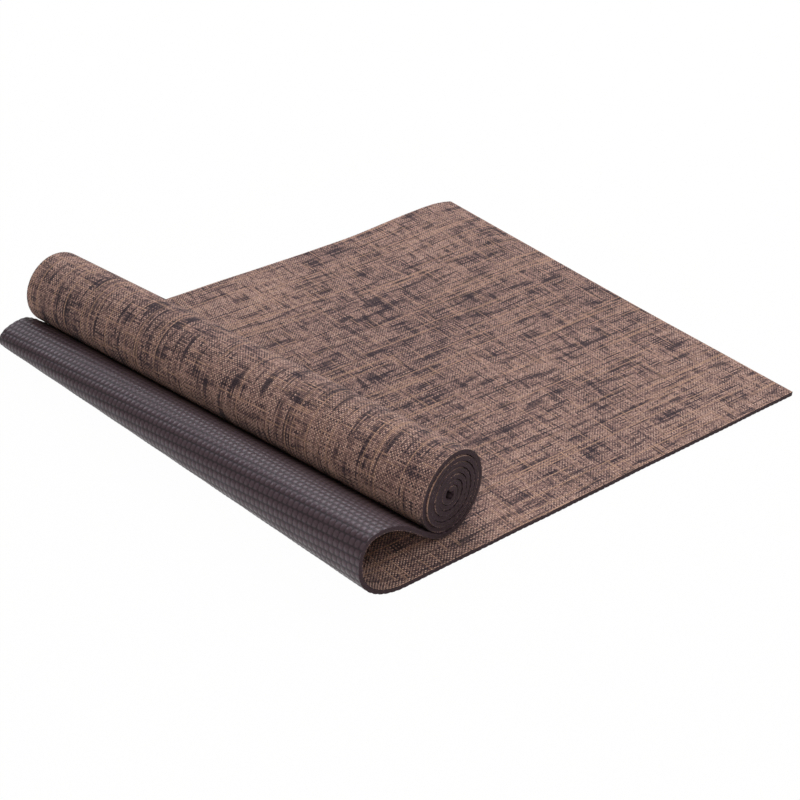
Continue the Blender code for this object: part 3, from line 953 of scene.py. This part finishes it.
def foam_skin_material():
    """Moulded foam, duller in the grooves between its pads, with painted shade darkening the
    grooves and a painted highlight on the crowns.
    """
    material, tree = new_material("embossed_foam")
    cloth, (_, _, depth) = cloth_coordinates(tree)
    crown = fade(tree, depth, SHEET_THICKNESS - PAD_HEIGHT, SHEET_THICKNESS)
    grain = place_group(tree, cut_cells, {"Cloth": cloth, "Cell Size": SKIN_CELL})["Grain"]
    # Painted shade in the grooves, a painted highlight on the crowns, and the grain's dark flecks.
    colour = mix_colours(tree, calc(tree, "MULTIPLY", grain, SKIN_GRAIN),
                         shade_steps(tree, crown, FOAM_SKIN_AND_PAINTED_RELIEF), FOAM_GRAIN_AND_GROOVE_SHADE)
    gloss = patches(tree, cloth, [1 / size for size in GLOSS_PATCH] + [0.0], GLOSS_DETAIL)
    roughness = scaled(tree, crown, -CROWN_GLOSS, SKIN_ROUGHNESS)
    roughness = scaled(tree, fade(tree, gloss, *GLOSS_LEVELS), -GLOSS_DEPTH, roughness)
    return finished(material, colour, roughness, grain, SKIN_RELIEF, {
        "Specular IOR Level": 0.46, "Specular Tint": (0.94, 0.87, 1.0, 1.0)})


def cut_foam_material():
    """Foam as a blade left it, with painted shade in its pits."""
    material, tree = new_material("cut_foam")
    cloth, _ = cloth_coordinates(tree)
    pits = place_group(tree, cut_cells, {"Cloth": cloth, "Cell Size": CUT_CELL})["Height"]
    # The pits are painted darker as shade.
    colour = mix_colours(tree, pits, FOAM_PIT_SHADE, FOAM_CUT)
    return finished(material, colour, CUT_ROUGHNESS, pits, CUT_RELIEF,
                    {"Specular IOR Level": 0.2})


foam_skin = foam_skin_material()
cut_foam = cut_foam_material()
print("foam in", foam_skin.name, "and", cut_foam.name)

# %% [markdown]
# ## Scrim
# A thin polyester net is sealed between the foams, so that the mat can't stretch.  Nothing
# of it shows unless the plies are taken apart, when it is a pale open grid.

# %% Scrim
SCRIM_THREAD = (0.62, 0.6, 0.57, 1.0)
SCRIM_GLUE = linear(96, 86, 86)
SCRIM_PITCH, SCRIM_WANDER = 0.0024, 0.1
THREAD_LEVELS, SCRIM_ROUGHNESS, SCRIM_RELIEF = (0.1, 0.4), 0.6, 0.00008


def scrim_material():
    """A pale net, with glue in its openings."""
    material, tree = new_material("scrim_net")
    cloth, _ = cloth_coordinates(tree)
    grid = place_group(tree, yarn_grid, {"Cloth": cloth, "Pitch": SCRIM_PITCH,
                                         "Wander": SCRIM_WANDER})
    thread = fade(tree, grid["Height"], *THREAD_LEVELS)
    colour = mix_colours(tree, thread, SCRIM_GLUE, SCRIM_THREAD)
    return finished(material, colour, SCRIM_ROUGHNESS, thread, SCRIM_RELIEF, {})


scrim_net = scrim_material()
print("scrim in", scrim_net.name)

# %% [markdown]
# ## Plies and stretches
# Each ply is made in stretches: the flat run, the bend and the roll.  The flat run rides on
# the body that lies on the floor, and the roll on the one that lifts.  The bend between
# them is tied to neither.  The stretches meet in the grooves between two rows of
# pads, where no seam shows.  A blade guided by hand cut the mat, so its edges stray a little.

# %% Stretches and grid lines
FIRST_ROWS = (80, 96, 107)
BEND_RUN, TAIL_RUN, HIDDEN_RUN = (row * PAD_RUN_PITCH for row in FIRST_ROWS)
CORE_LENGTH = 0.045
CORE_RUN = INNER_END_RUN - CORE_LENGTH
COARSE_PLACE_STEP = 0.03
FLAT_STEP, BENT_STEP, CORE_STEP = 0.005, 0.0025, 0.0009
BLADE_WAVES = ((0.31, 0.00022), (0.087, 0.00012), (0.023, 0.00005))


def bonded_step(run):
    """Least spacing of a ply's bonded side: finer where the sheet bends tightly."""
    if run < FLAT_LENGTH:
        return FLAT_STEP
    return BENT_STEP if run < CORE_RUN else CORE_STEP


def even_lines(start, stop, step):
    """Lines a step apart, or a little less, from start to stop."""
    return np.linspace(start, stop, math.ceil((stop - start) / step) + 1)


def core_lines(lines, step):
    """The lines, with more of them in the tight turns round the core."""
    if lines[-1] < CORE_RUN:
        return lines
    more = [x for x in even_lines(CORE_RUN, lines[-1], step)
            if np.abs(lines - x).min() > step / 3]
    return np.sort(np.concatenate((lines, more)))


def wander(run, phase):
    """How far the blade strays along an edge."""
    return sum(size * np.sin(run / length * math.tau + phase + length)
               for length, size in BLADE_WAVES)


def edged_grid(runs, places, strays=(wander,)):
    """Grids of run and place, with both cut edges moved in or out."""
    run, place = np.meshgrid(runs, places, indexing="ij")
    for column, outward in ((0, -1), (-1, 1)):
        place[:, column] += outward * sum(stray(runs, column) for stray in strays)
    return run, place


print(f"the bend runs from {BEND_RUN} to {TAIL_RUN} m")

# %% Jute facing
JUTE_TOP, JUTE_BOTTOM = 0.00008, 0.00088
JUTE_PLACE_STEP = 0.0084
RIB_DEPTH, THIN_DEPTH, THIN_LIMITS = 0.00005, 0.00004, (-1, 1.5)
THIN_BEATS = (211, 63, 1700, 1310, 41)
END_BEATS = (997, 433)
END_LENGTH, END_SWING, END_UNEVENNESS = 0.0001, 0.00016, 0.00008


def yarn_ends(run, phase):
    """The cut edge of the jute: yarn ends stand out between the gaps."""
    quick, slow = END_BEATS
    beat = np.sin(run * quick + phase) * np.sin(run * slow + phase)
    return END_LENGTH + END_SWING * np.cos(run / YARN_PITCH * math.tau) + END_UNEVENNESS * beat


def jute_stretch(name, start, stop):
    """One stretch of the facing, with its ribs, thin places and yarn ends as relief."""
    runs = pad_lines(start, stop, YARN_PITCH, (0, 0.5))
    places = even_lines(0, MAT_WIDTH, JUTE_PLACE_STEP)
    run, place = edged_grid(runs, places, (wander, yarn_ends))
    slow, across, quick, quicker, slant = THIN_BEATS
    thin = (np.sin(run * slow) * np.sin(place * across + run * quick)
            + np.sin(run * quicker + place * slant))
    ribs = RIB_DEPTH * (1 - np.cos(run / YARN_PITCH * math.tau))
    depth = JUTE_TOP + (ribs + THIN_DEPTH * np.clip(thin, *THIN_LIMITS))
    rows = pick_lines(runs, bonded_step)
    columns = pick_lines(places, lambda _: COARSE_PLACE_STEP)
    return closed_ply(name, run, place, depth, JUTE_BOTTOM, rows, columns)


print(f"jute {1000 * (JUTE_BOTTOM - JUTE_TOP):.2f} mm thick")

# %% Plain plies
FOAM_TOP, FOAM_BOTTOM = 0.0009, 0.00314
SCRIM_TOP, SCRIM_BOTTOM = 0.00316, 0.00326
SCRIM_INSET = 0.001
PLAIN_STEP = 0.0005


def plain_stretch(name, start, stop, top, bottom, inset=0.0):
    """One stretch of a ply that is bonded on both sides."""
    lines = even_lines(start, stop, PLAIN_STEP)
    runs = lines[pick_lines(lines, bonded_step)]
    places = even_lines(inset, MAT_WIDTH - inset, COARSE_PLACE_STEP)
    run, place = edged_grid(runs, places)
    depth = np.full(run.shape, top)
    return closed_ply(name, run, place, depth, bottom, range(len(runs)), range(len(places)))


print(f"top foam {1000 * (FOAM_BOTTOM - FOAM_TOP):.2f} mm thick")

# %% Embossed foam
BASE_TOP = 0.00328
CORE_PAD_STEP = 0.0007
END_PADS = 3


def embossed_stretch(name, start, stop, run_shares, place_shares, edges_only=False):
    """One stretch of the underside's foam with its pads.  In the roll only those near the
    ends can be seen, so the middle is left smooth there."""
    runs = core_lines(pad_lines(start, stop, PAD_RUN_PITCH, run_shares), CORE_PAD_STEP)
    places = pad_lines(0, MAT_WIDTH, PAD_PLACE_PITCH, place_shares, PAD_CUT_SHARE)
    reach = END_PADS * PAD_PLACE_PITCH
    if edges_only:
        near = places[(places < reach) | (places > MAT_WIDTH - reach)]
        middle = even_lines(reach, MAT_WIDTH - reach, COARSE_PLACE_STEP)
        places = np.sort(np.concatenate((near, middle)))
    run, place = edged_grid(runs, places)
    relief = pad_relief(run, np.clip(place, 0, MAT_WIDTH))
    if edges_only:
        relief[:, (places >= reach) & (places <= MAT_WIDTH - reach)] = 1
    depth = SHEET_THICKNESS - PAD_HEIGHT * (1 - relief)
    rows = pick_lines(runs, bonded_step)
    columns = pick_lines(places, lambda _: COARSE_PLACE_STEP)
    return closed_ply(name, run, place, depth, BASE_TOP, rows, columns)


print(f"base foam {1000 * (SHEET_THICKNESS - BASE_TOP):.2f} mm thick")

# %% [markdown]
# ## Make the mat
# Each piece gets its materials and hides the imported part that it stands for.  Pieces of
# the flat run are tied to the body that lies on the floor, and those of the roll and tail to
# the one that lifts.  A bend piece keeps its place, baked into its mesh, and is tied to
# neither.

# %% Bodies and bend
FLAT_BODY, ROLL_BODY = "flat_run", "rolled_end"


def follow(piece, stretch):
    """Ties a piece to the body of its stretch.  A bend piece is tied to none; its place is baked
    into its mesh.
    """
    if stretch == "bend":
        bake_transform(piece)
    else:
        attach(piece, FLAT_BODY if stretch == "flat" else ROLL_BODY)


def dress(piece, node, skin, cut):
    """Gives a piece its materials, and hides the imported part that it stands for."""
    piece.data.materials.append(skin)
    piece.data.materials.append(cut)
    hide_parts(node)


# %% Woven plies and top foam
STRETCHES = (("flat", 0.0, BEND_RUN, "flat"), ("bend", BEND_RUN, TAIL_RUN, "flat"),
             ("roll", TAIL_RUN, INNER_END_RUN, "roll"))

for stretch, start, stop, half in STRETCHES:
    jute = jute_stretch(stretch + "_jute", start, stop)
    dress(jute, "jute_facing_" + half, jute_weave, jute_cut)
    top_foam = plain_stretch(stretch + "_top_foam", start, stop, FOAM_TOP, FOAM_BOTTOM)
    dress(top_foam, "top_foam_" + half, cut_foam, cut_foam)
    scrim = plain_stretch(stretch + "_scrim", start, stop, SCRIM_TOP, SCRIM_BOTTOM, SCRIM_INSET)
    dress(scrim, "scrim_" + half, scrim_net, scrim_net)
    for piece in (jute, top_foam, scrim):
        follow(piece, stretch)
    print(stretch, [len(piece.data.polygons) for piece in (jute, top_foam, scrim)], "faces")

# %% Embossed foam's stretches
for name, start, stop, half, shares, edges_only in (
        ("flat", 0.0, BEND_RUN, "flat", PLAIN, False),
        ("bend", BEND_RUN, TAIL_RUN, "flat", FULL, False),
        ("tail", TAIL_RUN, HIDDEN_RUN, "roll", FULL, False),
        ("roll", HIDDEN_RUN, INNER_END_RUN, "roll", FULL, True)):
    piece = embossed_stretch(name + "_base_foam", start, stop, *shares, edges_only)
    dress(piece, "base_foam_" + half, foam_skin, cut_foam)
    follow(piece, name)
    print(piece.name, len(piece.data.polygons), "faces")
